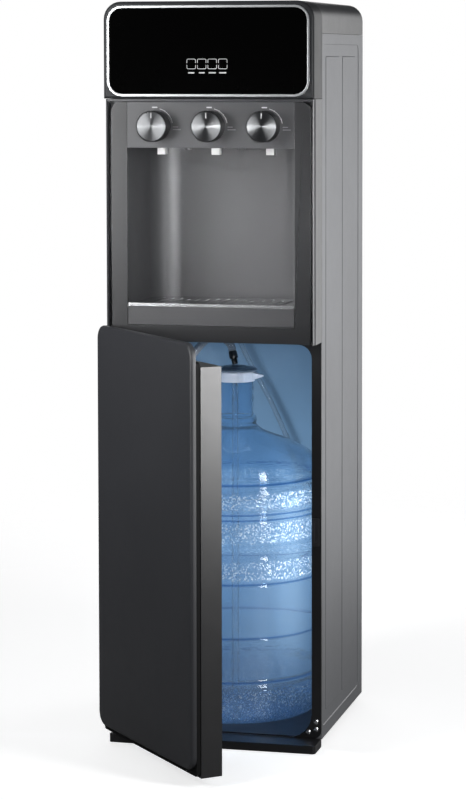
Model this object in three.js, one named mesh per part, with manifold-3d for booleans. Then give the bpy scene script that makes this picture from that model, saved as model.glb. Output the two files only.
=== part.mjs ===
// Bottom-loading water dispenser: a floor-standing cabinet with a water bottle behind a hinged door,
// a dispensing alcove with three tap knobs above it, and a display head on top.
// Millimetres, +X to the right seen from the front, -Y towards the user, +Z up, floor at z = 0.
import * as THREE from 'three';
import { mergeVertices } from 'three/addons/utils/BufferGeometryUtils.js';
import Module from 'manifold-3d';

const wasm = await Module();
wasm.setup();

// ---------------------------------------------------------------- driving dimensions
const WIDTH = 310;
const DEPTH = 356;
const HEIGHT = 1082;
const HALF = WIDTH / 2;
const FRONT = -DEPTH / 2;
const BACK = DEPTH / 2;
const GAP = 0.3;

// heights of the horizontal seams
const PLINTH_TOP = 12;
const FLOOR_TOP = 14;
const OPENING_TOP = 588;
const BELT_BOTTOM = 592;
const TRAY_SLOT = 615.6;
const GRILLE_TOP = 645.3;
const ALCOVE_TOP = 872;
const HEAD_BOTTOM = 943;
const COVER_BOTTOM = 1036;

// depths of the vertical planes
const FASCIA = -164;
const FASCIA_BACK = -156.4;
const WEB_BACK = -153;
const JAMB = -126;
const SEAM = -122;
const ALCOVE_BACK = -9;
const REAR_SHEET = 163.5;

// door, drawn closed and then swung open about its pins
const DOOR_OPEN = 49;
const DOOR_PIVOT = { x: -144.3, y: -150 };
const DOOR_BOTTOM = 25.5;
const DOOR_TOP = 614.6;
const DOOR_PANEL = 8.3;
const DOOR_THICKNESS = 47.35;

// taps
const TAP_X = [-81, 0, 81];
const TAP_NAMES = ['hot', 'warm', 'cold'];
const TAP_Z = 903.5;
const KNOB_RADIUS = 22.5;
const KNOB_LENGTH = 24.6;
const NOZZLE_Y = -127;

// bottle
const BOTTLE = { x: -11, y: 28 };
const BOTTLE_RADIUS = 130;
const NECK_RADIUS = 27.3;
const CAP_BASE = 514.5;
const CAP_TOP = 530;

// ---------------------------------------------------------------- materials
function paint(color, roughness, metalness = 0, extra = {}) {
  return new THREE.MeshStandardMaterial({ color, roughness, metalness, ...extra });
}

// ---------------------------------------------------------------- solid helpers
const group = new THREE.Group();
group.name = 'water_dispenser';

function add(name, geometry, material) {
  const mesh = new THREE.Mesh(geometry, material);
  mesh.name = name;
  group.add(mesh);
}

function toSolid(geometry) {
  const bare = geometry.clone();
  bare.deleteAttribute('normal');
  bare.deleteAttribute('uv');
  const merged = mergeVertices(bare, 1e-4);
  const index = merged.index.array;
  const kept = [];
  for (let i = 0; i < index.length; i += 3) {
    const [a, b, c] = [index[i], index[i + 1], index[i + 2]];
    if (a !== b && b !== c && c !== a) kept.push(a, b, c);
  }
  return new wasm.Manifold(new wasm.Mesh({
    numProp: 3,
    vertProperties: new Float32Array(merged.attributes.position.array),
    triVerts: new Uint32Array(kept),
  }));
}

function fromSolid(solid) {
  const mesh = solid.getMesh();
  const geometry = new THREE.BufferGeometry();
  geometry.setAttribute('position', new THREE.BufferAttribute(new Float32Array(mesh.vertProperties), 3));
  geometry.setIndex(new THREE.BufferAttribute(new Uint32Array(mesh.triVerts), 1));
  geometry.computeVertexNormals();
  return geometry;
}

function join(...geometries) {
  return fromSolid(geometries.map(toSolid).reduce((sum, next) => sum.add(next)));
}

function cut(geometry, ...tools) {
  return fromSolid(tools.map(toSolid).reduce((rest, tool) => rest.subtract(tool), toSolid(geometry)));
}

function box(x0, x1, y0, y1, z0, z1) {
  const geometry = new THREE.BoxGeometry(x1 - x0, y1 - y0, z1 - z0);
  return geometry.translate((x0 + x1) / 2, (y0 + y1) / 2, (z0 + z1) / 2);
}

// A cylinder along 'x', 'y' or 'z' from one coordinate to another.
function rod(axis, a, b, from, to, radius, sides = 20) {
  const geometry = new THREE.CylinderGeometry(radius, radius, to - from, sides);
  const middle = (from + to) / 2;
  if (axis === 'x') return geometry.rotateZ(Math.PI / 2).translate(middle, a, b);
  if (axis === 'y') return geometry.translate(a, middle, b);
  return geometry.rotateX(Math.PI / 2).translate(a, b, middle);
}

// Corner points of a rectangle with its own radius at each corner, counter-clockwise:
// radii are given as [lower left, lower right, upper right, upper left], and 0 is a sharp corner.
function roundedPoints(u0, u1, v0, v1, radii, inset = 0, steps = 5) {
  const corners = [
    [u0, v0, 1, 1, Math.PI],
    [u1, v0, -1, 1, 1.5 * Math.PI],
    [u1, v1, -1, -1, 0],
    [u0, v1, 1, -1, 0.5 * Math.PI],
  ];
  const points = [];
  corners.forEach(([u, v, su, sv, start], i) => {
    if (radii[i] === 0) {
      points.push(new THREE.Vector2(u + su * inset, v + sv * inset));
      return;
    }
    for (let k = 0; k <= steps; k += 1) {
      const angle = start + (k / steps) * (Math.PI / 2);
      points.push(new THREE.Vector2(
        u + su * radii[i] + (radii[i] - inset) * Math.cos(angle),
        v + sv * radii[i] + (radii[i] - inset) * Math.sin(angle),
      ));
    }
  });
  return points;
}

// Solid between outlines drawn in the front view (x, z), given as [y, points] from front to back.
function loft(stations) {
  const count = stations[0][1].length;
  const position = [];
  stations.forEach(([y, points]) => points.forEach((p) => position.push(p.x, y, p.y)));
  const index = [];
  for (let s = 0; s + 1 < stations.length; s += 1) {
    for (let i = 0; i < count; i += 1) {
      const a = s * count + i;
      const b = s * count + ((i + 1) % count);
      index.push(a, a + count, b, b, a + count, b + count);
    }
  }
  const last = (stations.length - 1) * count;
  const first = THREE.ShapeUtils.triangulateShape(stations[0][1], []);
  first.forEach(([a, b, c]) => index.push(a, b, c));
  const rear = THREE.ShapeUtils.triangulateShape(stations[stations.length - 1][1], []);
  rear.forEach(([a, b, c]) => index.push(last + a, last + c, last + b));
  const geometry = new THREE.BufferGeometry();
  geometry.setAttribute('position', new THREE.Float32BufferAttribute(position, 3));
  geometry.setIndex(index);
  geometry.computeVertexNormals();
  return geometry;
}

// Rounded slab seen from the front, with a quarter-round front edge of the given fillet.
function frontSlab(x0, x1, z0, z1, radii, y0, y1, fillet = 0, steps = 5) {
  const outline = (inset) => roundedPoints(x0, x1, z0, z1, radii, inset, steps);
  const stations = [];
  const rings = fillet > 0 ? 4 : 0;
  for (let k = 0; k <= rings; k += 1) {
    const angle = rings ? (k / rings) * (Math.PI / 2) : Math.PI / 2;
    stations.push([y0 + fillet * (1 - Math.sin(angle)), fillet * (1 - Math.cos(angle))]);
  }
  stations.sort((a, b) => a[0] - b[0]);
  return loft([...stations.map(([y, inset]) => [y, outline(inset)]), [y1, outline(0)]]);
}

// Rounded slab seen from above.
function planSlab(x0, x1, y0, y1, radii, z0, z1, steps = 5) {
  const shape = new THREE.Shape(roundedPoints(x0, x1, y0, y1, radii, 0, steps));
  return new THREE.ExtrudeGeometry(shape, { depth: z1 - z0, bevelEnabled: false }).translate(0, 0, z0);
}

function flatPrism(points, z0, z1) {
  const shape = new THREE.Shape(points.map(([x, y]) => new THREE.Vector2(x, y)));
  return new THREE.ExtrudeGeometry(shape, { depth: z1 - z0, bevelEnabled: false }).translate(0, 0, z0);
}

// Turned solid about the vertical through (x, y); the profile runs from the axis back to the axis.
function turned(profile, x, y, segments) {
  const points = profile.map(([r, z]) => new THREE.Vector2(r, z));
  return new THREE.LatheGeometry(points, segments).rotateX(Math.PI / 2).translate(x, y, 0);
}

// Turned solid about a horizontal axis that points towards the user.
function turnedForward(profile, x, y, z, segments) {
  const points = profile.map(([r, t]) => new THREE.Vector2(r, t));
  return new THREE.LatheGeometry(points, segments).rotateX(Math.PI).translate(x, y, z);
}

// Round tube along a smooth line through the given points.
function tube(points, radius, sides, steps) {
  const curve = new THREE.CatmullRomCurve3(points.map(([x, y, z]) => new THREE.Vector3(x, y, z)));
  const section = new THREE.Shape();
  section.absarc(0, 0, radius, 0, 2 * Math.PI, false);
  return new THREE.ExtrudeGeometry(section, { steps, curveSegments: sides / 2, extrudePath: curve });
}

function swing(geometry) {
  geometry.translate(-DOOR_PIVOT.x, -DOOR_PIVOT.y, 0);
  geometry.rotateZ(-DOOR_OPEN * Math.PI / 180);
  return geometry.translate(DOOR_PIVOT.x, DOOR_PIVOT.y, 0);
}

// ---------------------------------------------------------------- cabinet shell
const black = paint(0x141416, 0.45);
const charcoal = paint(0x3a3b3f, 0.42);
const steelPaint = paint(0x8b8d92, 0.38, 0.25);

const underRecess = 3;
add('base_plinth', cut(
  join(
    planSlab(-HALF + 0.6, HALF - 0.6, -167, SEAM, [5, 5, 0, 0], 0, PLINTH_TOP),
    box(-127, 127, SEAM - 1, 160, 0, PLINTH_TOP),
    box(-141.8, 141.8, SEAM + 0.5, 162.8, 11, FLOOR_TOP),
    box(-152.3, 152.3, SEAM + 2.2, 162.8, 11, FLOOR_TOP),
    box(-141.8, 141.8, SEAM - 6, SEAM + 1, 8, PLINTH_TOP + 0.2),
  ),
  box(-118, -8, -112, 150, -1, underRecess),
  box(8, 118, -112, 150, -1, underRecess),
), black);

// Pressed sheet with returned flanges front and rear, a sunk field and two pads standing in it.
function sidePanel(side) {
  const sunk = HALF - 0.8;
  const inside = HALF - 2.3;
  const sheet = [
    [inside - 10.5, SEAM + GAP],
    [HALF, SEAM + GAP],
    [HALF, BACK],
    [inside - 12.5, BACK],
    [inside - 12.5, BACK - 1.5],
    [inside, BACK - 1.5],
    [inside, SEAM + GAP + 1.5],
    [inside - 10.5, SEAM + GAP + 1.5],
  ];
  const body = flatPrism(sheet, 11, COVER_BOTTOM - GAP);
  // A pressed pad: its face is smaller than its foot by the width of the pressed slope.
  const pad = (y0, y1, z0, z1, foot, face, slope, radius) => {
    const low = roundedPoints(y0, y1, z0, z1, [radius, radius, radius, radius], 0, 3);
    const high = roundedPoints(y0, y1, z0, z1, [radius, radius, radius, radius], slope, 3);
    return loft([[foot, low], [face, high]].sort((a, b) => a[0] - b[0]))
      .applyMatrix4(new THREE.Matrix4().set(0, 1, 0, 0, 1, 0, 0, 0, 0, 0, 1, 0, 0, 0, 0, 1));
  };
  const flip = (geometry) => {
    const index = geometry.index.array;
    for (let i = 0; i < index.length; i += 3) [index[i], index[i + 1]] = [index[i + 1], index[i]];
    return geometry;
  };
  const field = flip(pad(-119, 146, 28, 1022, HALF + 0.5, sunk, 2, 12));
  const frontPad = flip(pad(-95, 2, 48, 1004, sunk - 0.4, HALF, 1.8, 4));
  const rearPad = flip(pad(24, 119, 48, 1004, sunk - 0.4, HALF, 1.8, 4));
  const right = join(cut(body, field), frontPad, rearPad);
  if (side > 0) return right;
  return flip(right.scale(-1, 1, 1));
}
add('right_side_panel', sidePanel(1), steelPaint);
add('left_side_panel', sidePanel(-1), steelPaint);

const rearPorts = { gland: [-112, 60], drain: [112, 60], switches: [-84, 905] };
const ventSlots = [];
for (let row = 0; row < 7; row += 1) {
  const z = 955 + row * 9;
  ventSlots.push(box(-110, -10, 160, 168, z, z + 3.4), box(10, 110, 160, 168, z, z + 3.4));
}
add('back_panel', cut(
  box(-139.5, 139.5, REAR_SHEET, REAR_SHEET + 1.5, FLOOR_TOP + GAP, 1034),
  rod('y', rearPorts.gland[0], rearPorts.gland[1], 160, 168, 7.6),
  rod('y', rearPorts.drain[0], rearPorts.drain[1], 160, 168, 8.6),
  box(rearPorts.switches[0] - 26.5, rearPorts.switches[0] + 26.5, 160, 168, 883, 927),
  ...ventSlots,
), paint(0x55585c, 0.5, 0.2));

// Serpentine condenser tube on two strips that stand off the back panel.
function condenser() {
  const path = new THREE.CurvePath();
  const reach = 106;
  const pitch = 58;
  const passes = 13;
  const y = 171.5;
  const low = 130;
  for (let i = 0; i < passes; i += 1) {
    const z = low + i * pitch;
    const sign = i % 2 ? -1 : 1;
    const start = new THREE.Vector3(-sign * reach, y, z);
    const end = new THREE.Vector3(sign * reach, y, z);
    path.add(new THREE.LineCurve3(start, end));
    if (i + 1 < passes) {
      path.add(new THREE.CubicBezierCurve3(
        new THREE.Vector3(sign * reach, y, z),
        new THREE.Vector3(sign * (reach + 30), y, z),
        new THREE.Vector3(sign * (reach + 30), y, z + pitch),
        new THREE.Vector3(sign * reach, y, z + pitch),
      ));
    }
  }
  const rungs = [];
  for (let i = 0; i < path.curves.length; i += 1) {
    const piece = path.curves[i];
    const divisions = i % 2 ? 6 : 1;
    for (let k = 0; k < divisions; k += 1) rungs.push(piece.getPoint(k / divisions));
  }
  rungs.push(path.curves[path.curves.length - 1].getPoint(1));
  const sides = 6;
  const radius = 2.6;
  const position = [];
  const index = [];
  rungs.forEach((point, i) => {
    const before = rungs[Math.max(i - 1, 0)];
    const after = rungs[Math.min(i + 1, rungs.length - 1)];
    const tangent = new THREE.Vector3().subVectors(after, before).normalize();
    const across = new THREE.Vector3(0, 1, 0).cross(tangent).normalize();
    for (let k = 0; k < sides; k += 1) {
      const angle = (k / sides) * 2 * Math.PI;
      position.push(
        point.x + radius * Math.cos(angle) * across.x,
        point.y + radius * Math.sin(angle),
        point.z + radius * Math.cos(angle) * across.z,
      );
    }
  });
  for (let i = 0; i + 1 < rungs.length; i += 1) {
    for (let k = 0; k < sides; k += 1) {
      const a = i * sides + k;
      const b = i * sides + ((k + 1) % sides);
      index.push(a, b, a + sides, b, b + sides, a + sides);
    }
  }
  const end = (rungs.length - 1) * sides;
  for (let k = 1; k + 1 < sides; k += 1) index.push(0, k + 1, k, end, end + k, end + k + 1);
  const geometry = new THREE.BufferGeometry();
  geometry.setAttribute('position', new THREE.Float32BufferAttribute(position, 3));
  geometry.setIndex(index);
  const strips = [-70, 70].map((x) => join(
    box(x - 5, x + 5, 168, 170.4, 112, 844),
    box(x - 5, x + 5, REAR_SHEET + 1.5 + GAP, 170, 112, 118),
    box(x - 5, x + 5, REAR_SHEET + 1.5 + GAP, 170, 838, 844),
  ));
  return join(geometry, ...strips);
}
add('condenser_coil', condenser(), paint(0x1b1c1e, 0.5, 0.5));

// ---------------------------------------------------------------- bottle bay
const bayOpening = frontSlab(
  -140.7, 140.7, FLOOR_TOP - 1.6, OPENING_TOP, [36, 36, 20, 20], JAMB - 5, SEAM + 5, 0, 6,
);
add('bay_frame', cut(
  join(
    frontSlab(-HALF, HALF, PLINTH_TOP + GAP, BELT_BOTTOM - 0.4, [12, 12, 0, 0], JAMB, SEAM - 0.2),
    box(-150.5, 150.5, JAMB, SEAM - 0.2, BELT_BOTTOM - 1, 608),
  ),
  bayOpening,
), black);

const hosePorts = { suction: [-116, 128], drain: [-38, 148] };
add('bay_liner', cut(
  join(
    cut(
      box(-149, 149, SEAM + 2.2, 162, FLOOR_TOP + GAP, 596),
      box(-147.4, 147.4, SEAM - 5, 160.4, 0, 594),
    ),
    rod('z', hosePorts.suction[0], hosePorts.suction[1], 590, 595, 11),
    rod('z', hosePorts.drain[0], hosePorts.drain[1], 590, 595, 9),
  ),
  rod('z', hosePorts.suction[0], hosePorts.suction[1], 580, 600, 6.6),
  rod('z', hosePorts.drain[0], hosePorts.drain[1], 580, 600, 4.6),
  rod('y', rearPorts.drain[0], rearPorts.drain[1], 158, 166, 8.6),
  rod('y', rearPorts.gland[0], rearPorts.gland[1], 158, 166, 7.6),
), paint(0x5d7f9c, 0.5));

function phillipsScrew(x, z) {
  const head = [[0, -0.2], [3.9, -0.2], [3.9, 0.7], [2.9, 1.6], [1.4, 2.0], [0, 2.0]];
  const seat = JAMB - GAP - 0.2;
  return cut(
    turnedForward(head, x, seat, z, 14),
    box(x - 2.1, x + 2.1, seat - 3, seat - 1.1, z - 0.45, z + 0.45),
    box(x - 0.45, x + 0.45, seat - 3, seat - 1.1, z - 2.1, z + 2.1),
  );
}
[[146.8, 37.4], [146.8, 26.4], [135.2, 21.9]].forEach(([x, z], i) => {
  add(`frame_screw_${i + 1}`, phillipsScrew(x, z), paint(0xc9ccd0, 0.25, 0.9));
});

add('magnetic_catch', cut(
  box(142.2, 152.2, -129.5, JAMB - GAP, 296, 336),
  box(145, 149.4, -131, -128.9, 302, 330),
), paint(0x202124, 0.5));

// ---------------------------------------------------------------- dispensing front
add('surround_shell', cut(
  planSlab(-HALF, HALF, -168.8, SEAM - GAP, [5, 5, 0, 0], BELT_BOTTOM, HEAD_BOTTOM - 0.6, 5),
  box(-151.3, 151.3, -180, FASCIA_BACK + GAP, BELT_BOTTOM - 5, 939),
  box(-127, 127, -160, -140, 605, 935),
  box(-151.3, 151.3, WEB_BACK, -115, BELT_BOTTOM - 5, 939),
), charcoal);

add('dispense_frame', cut(
  frontSlab(-147.5, 147.5, BELT_BOTTOM + 0.3, 938.4, [0, 0, 14, 14], FASCIA, FASCIA_BACK),
  box(-123.8, 123.8, -170, -150, TRAY_SLOT, 950),
), paint(0x47484d, 0.4));

const spindleHoles = TAP_X.map((x) => rod('y', x, TAP_Z, -170, -150, 6, 24));
add('control_panel', cut(
  box(-123.4, 123.4, FASCIA, FASCIA_BACK, ALCOVE_TOP, 938.4),
  ...spindleHoles,
), paint(0x55565b, 0.4, 0.1));

// Alcove: a moulded pocket, open to the front, with large round rear corners.
const nozzleHalf = 6;
const nozzleBottom = 861.5;
const nozzleHoles = TAP_X.map((x) => box(
  x - nozzleHalf - 0.4, x + nozzleHalf + 0.4,
  NOZZLE_Y - nozzleHalf - 0.4, NOZZLE_Y + nozzleHalf + 0.4,
  868, 880,
));
add('alcove_liner', cut(
  join(
    cut(
      planSlab(-126, 126, -156, ALCOVE_BACK + 2, [0, 0, 42, 42], 611.8, ALCOVE_TOP + 2.8, 7),
      planSlab(-124, 124, -170, ALCOVE_BACK, [0, 0, 40, 40], TRAY_SLOT - 0.1, ALCOVE_TOP + 0.3, 7),
    ),
    rod('z', -40, -136, ALCOVE_TOP - 3, ALCOVE_TOP + 2, 5, 16),
    rod('z', 40, -136, ALCOVE_TOP - 3, ALCOVE_TOP + 2, 5, 16),
  ),
  ...nozzleHoles,
), paint(0x4e4f53, 0.42));

add('drip_tray', cut(
  planSlab(-123.2, 123.2, FASCIA - 0.3, -20, [0, 0, 38, 38], TRAY_SLOT + 0.4, 643, 6),
  planSlab(-120.6, 120.6, -160.8, -22.6, [5, 5, 35.4, 35.4], 618.6, 650, 6),
), paint(0x3e3f43, 0.42));

const grilleSlots = [];
for (let i = 0; i < 15; i += 1) {
  const x = (i - 7) * 14;
  grilleSlots.push(box(x - 1.75, x + 1.75, -150, -60 + 8 * Math.cos(i - 7), 640, 650));
}
add('drip_grille', cut(
  join(
    planSlab(-122.6, 122.6, -162, -21, [0, 0, 37, 37], 643.3, GRILLE_TOP, 6),
    box(-122.6, 122.6, FASCIA - 0.5, -161.5, 643.3, 647.6),
  ),
  ...grilleSlots,
), paint(0xb4b6b9, 0.28, 0.85));

// ---------------------------------------------------------------- taps
const knobBody = [
  [0, -16], [4.8, -16], [4.8, 0], [21.6, 0], [KNOB_RADIUS, 0.9], [KNOB_RADIUS, KNOB_LENGTH - 1.4],
  [22, KNOB_LENGTH - 0.5], [21.6, KNOB_LENGTH - 0.5], [21.6, KNOB_LENGTH - 3], [0, KNOB_LENGTH - 3],
];
const knobDisc = [
  [0, KNOB_LENGTH - 2.7], [21.3, KNOB_LENGTH - 2.7], [21.3, KNOB_LENGTH - 0.8],
  [20.6, KNOB_LENGTH], [0, KNOB_LENGTH],
];
TAP_X.forEach((x, i) => {
  const name = TAP_NAMES[i];
  const seat = FASCIA - 0.5;
  add(`${name}_knob`, turnedForward(knobBody, x, seat, TAP_Z, 40), paint(0x18191b, 0.35));
  add(`${name}_knob_disc`, cut(
    turnedForward(knobDisc, x, seat, TAP_Z, 40),
    box(x - 0.9, x + 0.9, seat - KNOB_LENGTH - 1, seat - KNOB_LENGTH + 0.5, TAP_Z + 12, TAP_Z + 19.5),
  ), paint(0xc8cacd, 0.22, 0.95));
  add(`${name}_nozzle`, cut(
    box(x - nozzleHalf, x + nozzleHalf, NOZZLE_Y - nozzleHalf, NOZZLE_Y + nozzleHalf, nozzleBottom, 874.9),
    rod('z', x, NOZZLE_Y, 850, 868, 3.6, 16),
  ), paint(0xf2f3f4, 0.35));
  add(`${name}_valve`, cut(
    join(
      box(x - 13, x + 13, -151, -114, 875.3, 916),
      rod('y', x, TAP_Z, -152.5, -150, 10, 20),
      rod('y', x, TAP_Z - 8, -116, -100, 5, 16),
      rod('z', x, -128, 914, 926, 7, 16),
    ),
    rod('y', x, TAP_Z, -155, -145, 5.4, 20),
  ), paint(0xe6e4dc, 0.5));
});

// ---------------------------------------------------------------- display head
const trimOuter = { x: 149, z0: 946, z1: 1076, r: 22 };
const trimInner = { x: 145.5, z0: 949.5, z1: 1072.5, r: 18.5 };
function headPocket(frame, extra, y0, y1) {
  const r = frame.r + extra;
  const x = frame.x + extra;
  return frontSlab(-x, x, frame.z0 - extra, frame.z1 + extra, [r, r, r, r], y0, y1);
}
add('head_bezel', cut(
  frontSlab(-HALF, HALF, HEAD_BOTTOM, HEIGHT, [0, 0, 25, 25], FRONT, SEAM - GAP, 4.5, 7),
  frontSlab(-152, 152, HEAD_BOTTOM + 3, HEIGHT - 3, [0, 0, 22, 22], -171.5, SEAM + 5, 0, 7),
  headPocket(trimOuter, 0.25, -190, -174.8),
), charcoal);
add('display_trim', cut(
  headPocket(trimOuter, 0, FRONT - 1.6, -175.1),
  headPocket(trimInner, 0, -190, -170),
), paint(0xe9ebee, 0.12, 0.95));
add('display_panel', headPocket(trimInner, -0.3, FRONT - 0.5, -175.1), paint(0x050506, 0.06));

const boardPegs = [[-66, 962], [66, 962], [-66, 1008], [66, 1008]];
add('display_board', join(
  box(-72, 72, -168.4, -166.8, 956, 1014),
  ...boardPegs.map(([x, z]) => rod('y', x, z, -171.2, -167, 3, 8)),
  ...[-23, -8, 8, 23].map((x) => box(x - 4, x + 4, -171, -168, 988, 997)),
  box(-40, -12, -167, -160, 962, 978),
), paint(0x1f5c3a, 0.5));

add('top_cover', cut(
  frontSlab(-HALF, HALF, COVER_BOTTOM, HEIGHT, [0, 0, 25, 25], SEAM, BACK, 0, 7),
  frontSlab(-152, 152, COVER_BOTTOM - 10, HEIGHT - 3, [0, 0, 22, 22], SEAM - 5, BACK - 3, 0, 7),
), charcoal);

// ---------------------------------------------------------------- cooling and heating equipment
const shelfSteel = paint(0x9da1a5, 0.45, 0.6);
add('equipment_shelf', cut(
  box(-150, 150, -118, 162.6, 597, 599),
  rod('z', hosePorts.suction[0], hosePorts.suction[1], 590, 606, 8),
  rod('z', hosePorts.drain[0], hosePorts.drain[1], 590, 606, 6),
), shelfSteel);

const drainTop = [-80, 112];
add('tank_shelf', cut(
  join(
    box(-150, 150, 2, 162.6, 756, 758),
    box(-150, -148.5, 2, 162.6, 738, 757),
    box(148.5, 150, 2, 162.6, 738, 757),
  ),
  rod('z', drainTop[0], drainTop[1], 750, 764, 6),
), shelfSteel);

add('compressor', join(
  box(2, 142, 28, 148, 599.3, 602.5),
  turned([[0, 602], [60, 602], [63, 612], [63, 660], [66, 662], [66, 666], [62, 668], [60, 710], [48, 734],
    [24, 745], [0, 747]], 72, 88, 28),
  rod('z', 72 - 30, 88 - 30, 720, 752, 4, 10),
  rod('x', 88, 700, 6, 20, 4, 10),
), paint(0x101113, 0.35, 0.3));

add('cold_tank', turned([[0, 758.3], [60, 758.3], [72, 766], [74, 778], [74, 990], [72, 1002], [58, 1010],
  [12, 1012], [12, 1020], [0, 1020]], 72, 84, 28), paint(0xd9dadb, 0.6));

add('hot_tank', join(
  turned([[0, 768], [48, 768], [56, 776], [57, 784], [57, 916], [55, 926], [44, 932], [10, 934], [10, 944],
    [0, 944]], -82, 84, 28),
  rod('z', drainTop[0], drainTop[1], 750, 772, 4, 12),
  box(-112, -104, 60, 108, 758.3, 790),
  box(-60, -52, 60, 108, 758.3, 790),
), paint(0xb9bcc0, 0.3, 0.85));

add('water_pump', join(
  box(-134, -60, 60, 112, 599.3, 603),
  rod('y', -86, 634, 66, 142, 26, 20),
  box(-104, -68, 72, 100, 601, 620),
  box(-124, -100, 114, 142, 618, 650),
  rod('z', hosePorts.suction[0], hosePorts.suction[1], 612, 622, 4, 12),
), paint(0x2a2c30, 0.5));

// ---------------------------------------------------------------- rear fittings
const switchX = rearPorts.switches[0];
const switchZ = rearPorts.switches[1];
add('switch_housing', cut(
  join(
    box(switchX - 26, switchX + 26, 152, 166, switchZ - 21.5, switchZ + 21.5),
    box(switchX - 29, switchX + 29, REAR_SHEET + 1.5 + GAP, 167.6, switchZ - 24.5, switchZ + 24.5),
  ),
  box(switchX - 22.5, switchX - 2.5, 156, 170, switchZ - 16, switchZ + 16),
  box(switchX + 2.5, switchX + 22.5, 156, 170, switchZ - 16, switchZ + 16),
), paint(0x1d1e20, 0.5));

// Rocker drawn with its lower half pressed in; it turns about a crosswise pin.
function rocker(x) {
  const profile = [[-6, -3], [6, -3], [14.2, 3.4], [0, 5.4], [-14.2, 3.4]];
  const shape = new THREE.Shape(profile.map(([z, y]) => new THREE.Vector2(y, z)).reverse());
  const solid = new THREE.ExtrudeGeometry(shape, { depth: 18.6, bevelEnabled: false });
  const axes = new THREE.Matrix4().set(0, 0, 1, 0, 1, 0, 0, 0, 0, 1, 0, 0, 0, 0, 0, 1);
  solid.applyMatrix4(axes).translate(-9.3, 0, 0);
  return solid.rotateX(-8 * Math.PI / 180).translate(x, 164.2, switchZ);
}
add('heating_switch', rocker(switchX - 12.5), paint(0xb3352c, 0.4));
add('cooling_switch', rocker(switchX + 12.5), paint(0x2f7a3f, 0.4));

add('mains_gland', cut(
  join(
    rod('y', rearPorts.gland[0], rearPorts.gland[1], 158, 166, 7.2, 20),
    rod('y', rearPorts.gland[0], rearPorts.gland[1], REAR_SHEET + 1.5 + GAP, 168.4, 11.5, 24),
    rod('y', rearPorts.gland[0], rearPorts.gland[1], 168, 177, 8, 20),
  ),
  rod('y', rearPorts.gland[0], rearPorts.gland[1], 162.5, 180, 3.9, 16),
), paint(0x17181a, 0.55));

add('drain_outlet', join(
  rod('y', rearPorts.drain[0], rearPorts.drain[1], 152, 166, 8, 20),
  rod('y', rearPorts.drain[0], rearPorts.drain[1], REAR_SHEET + 1.5 + GAP, 168.4, 13, 24),
  rod('y', rearPorts.drain[0], rearPorts.drain[1], 144, 153, 4, 12),
), paint(0xdadcdd, 0.45));
add('drain_cap', turnedForward([[0, -8.8], [10, -8.8], [11.2, -7.4], [11.2, 0], [0, 0]],
  rearPorts.drain[0], 168.7, rearPorts.drain[1], 12), paint(0x1a1b1d, 0.5));

// ---------------------------------------------------------------- door
const pinHole = (z0, z1) => rod('z', DOOR_PIVOT.x, DOOR_PIVOT.y, z0, z1, 3.4, 20);
add('door_panel', swing(
  frontSlab(-154.6, 155.1, DOOR_BOTTOM, DOOR_TOP, [20, 20, 20, 20], FRONT, FRONT + DOOR_PANEL - GAP, 4, 6),
), paint(0x2e2f33, 0.4, 0.15));
add('door_carrier', swing(
  frontSlab(-151.4, 153.4, 17.5, 589, [4, 4, 4, 4], FRONT + DOOR_PANEL, -163.1, 0, 2),
), black);
const inner = { x0: -151.6, x1: 154.4, y0: -162.75, y1: FRONT + DOOR_THICKNESS, z0: 14.9, z1: 582.1 };
const bossEdge = -134;
add('door_inner', swing(cut(
  box(inner.x0, inner.x1, inner.y0, inner.y1, inner.z0, inner.z1),
  box(bossEdge, inner.x1 - 2.4, inner.y0 - 5, inner.y1 - 2.4, inner.z0 + 2.4, inner.z1 - 2.4),
  box(inner.x0 + 2.4, bossEdge + 1, inner.y0 - 5, inner.y1 - 2.4, inner.z0 + 18, inner.z1 - 18),
  pinHole(inner.z0 - 2, inner.z0 + 13),
  pinHole(inner.z1 - 13, inner.z1 + 2),
)), paint(0x333437, 0.45));
add('door_strike', swing(
  box(142.4, 152, inner.y1 + 0.05, inner.y1 + 0.65, 294, 338),
), paint(0xb8bbbe, 0.3, 0.9));

// Hinge bracket: a screwed leg, a shelf under or over the door, and the pin it turns on.
function hinge(shelfLow, legLow, legHigh, pinLow, pinHigh) {
  const x = DOOR_PIVOT.x;
  const y = DOOR_PIVOT.y;
  return join(
    rod('z', x, y, shelfLow, shelfLow + 2, 8.4, 24),
    box(x - 8.4, x + 8.4, y, JAMB - GAP, shelfLow, shelfLow + 2),
    box(x - 8.4, x + 8.4, -127.8, JAMB - GAP, legLow, legHigh),
    rod('z', x, y, pinLow, pinHigh, 3, 20),
  );
}
const hingeSteel = paint(0x8f9296, 0.35, 0.8);
add('lower_hinge', hinge(PLINTH_TOP + 0.5, PLINTH_TOP + 0.5, 44, PLINTH_TOP + 1, inner.z0 + 11), hingeSteel);
add('upper_hinge', hinge(583, 560, 585, inner.z1 - 11, 584), hingeSteel);

// ---------------------------------------------------------------- bottle and its drawing-up parts
const wall = 1.7;
const R = BOTTLE_RADIUS;
const bottleOuter = [
  [0, 21], [60, 19], [98, 15], [108, 14.4], [120, 19], [127, 27], [R, 38],
  [R, 72], [R - 2.6, 76], [R - 2.6, 82], [R, 86], [R, 143], [R - 1.6, 146], [R, 149],
  [R, 222], [R - 2, 226], [R, 230], [R, 264], [R - 1.4, 268], [R - 1.4, 283], [R, 287],
  [R, 318], [R - 2.2, 322], [R + 0.6, 326], [R - 2, 330], [R + 0.6, 334], [R - 2, 338], [R, 342],
  [R, 366], [R - 2.4, 371], [R - 2.4, 375], [R - 0.6, 380],
  [126, 394], [117, 406], [103, 415.5], [84, 423.5], [62, 431.5], [46, 438], [36, 444],
  [31.5, 449], [32.6, 456], [32.6, 459.5], [28.4, 462], [NECK_RADIUS, 466],
  [NECK_RADIUS, 486], [28.2, 488], [NECK_RADIUS, 490], [NECK_RADIUS, 526],
];
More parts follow.
